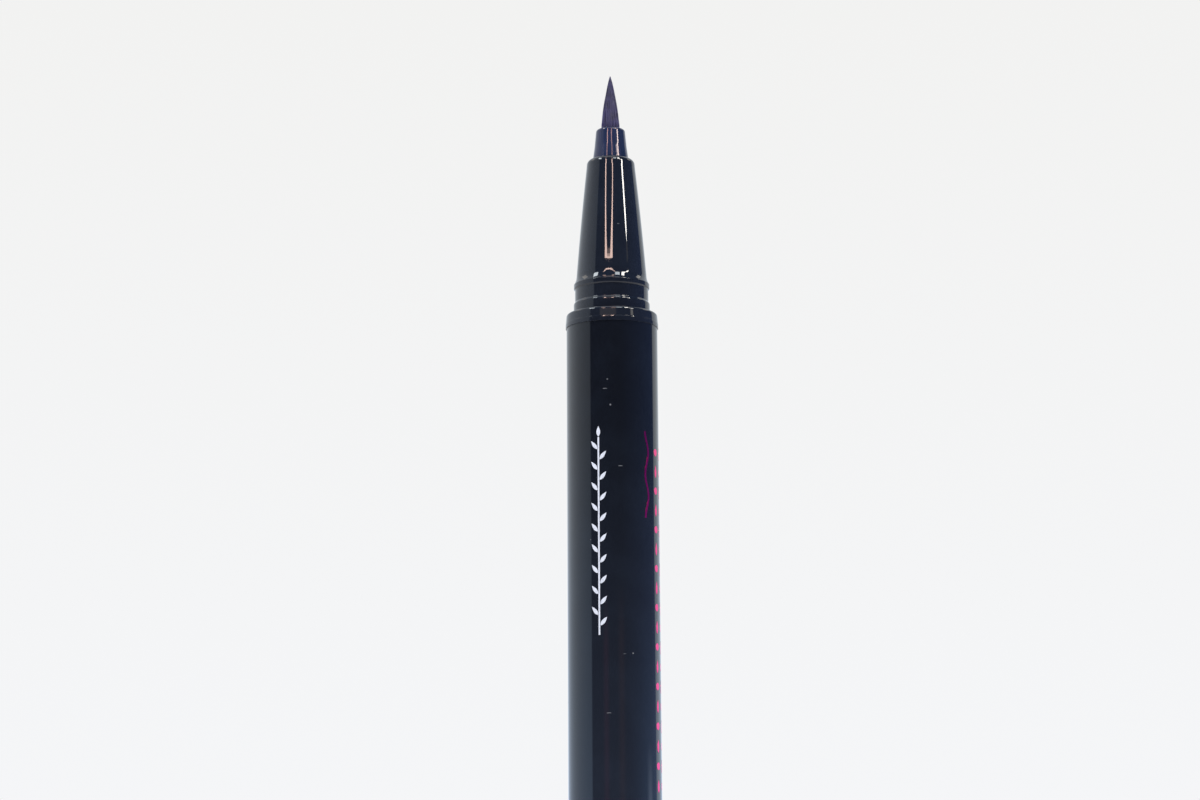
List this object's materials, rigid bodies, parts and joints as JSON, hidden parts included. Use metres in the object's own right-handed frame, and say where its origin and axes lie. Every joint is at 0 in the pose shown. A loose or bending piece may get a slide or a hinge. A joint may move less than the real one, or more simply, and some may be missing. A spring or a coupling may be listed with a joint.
{
  "type": "liquid eyeliner pen",
  "caption": "Slim liquid eyeliner pen standing nib up, with a pointed brush on a tapered stepped front section and its sprung cap stood beside it.",
  "frame": {"origin": "centre of the pen's flat rear face, which is the surface it stands on", "axes": "+Z along the pen towards the brush, +X towards the cap standing beside it, the picture looks along +Y"},
  "size_m": [0.0321, 0.0102, 0.125],
  "materials": {
    "black_gloss": "polished moulded black, slightly blue",
    "stained_plastic": "smooth moulded plastic with a film of ink",
    "bristle": "fine tapered filaments stained with ink",
    "natural_plastic": "unpigmented moulded plastic",
    "porous_fibre": "bonded fibre soaked with ink",
    "seal_rubber": "moulded rubber",
    "polished_steel": "ground and polished steel balls",
    "spring_steel": "drawn stainless wire"
  },
  "bodies": {
    "pen": {"end_plug": "black_gloss", "barrel": "black_gloss", "front_section": "black_gloss", "spigot_seal": "seal_rubber", "tank_partition": "natural_plastic", "ink_collector": "natural_plastic", "feed_rod": "porous_fibre", "overflow_sponge": "porous_fibre", "nib_ferrule": "stained_plastic", "brush_tip": "bristle"},
    "cap": {"cap_shell": "black_gloss", "cap_spring": "spring_steel"},
    "cap_seal": {"inner_cap": "natural_plastic"},
    "ball_1": {"mixing_ball_1": "polished_steel"},
    "ball_2": {"mixing_ball_2": "polished_steel"}
  },
  "joints": [
    {"name": "cap_lift", "type": "slide", "parent": "pen", "child": "cap", "axis": [0, 0, 1], "range_m": [0, 0.13]},
    {"name": "inner_cap_press", "type": "slide", "parent": "cap", "child": "cap_seal", "axis": [0, 0, -1], "range_m": [0, 0.002], "stiffness_N_per_m": 300, "springref_m": -0.001, "deforming": ["cap_spring"]},
    {"name": "ball_1_roll", "type": "slide", "parent": "pen", "child": "ball_1", "axis": [0, 0, 1], "range_m": [0, 0.066]},
    {"name": "ball_2_roll", "type": "slide", "parent": "pen", "child": "ball_2", "axis": [0, 0, 1], "range_m": [0, 0.066]}
  ]
}
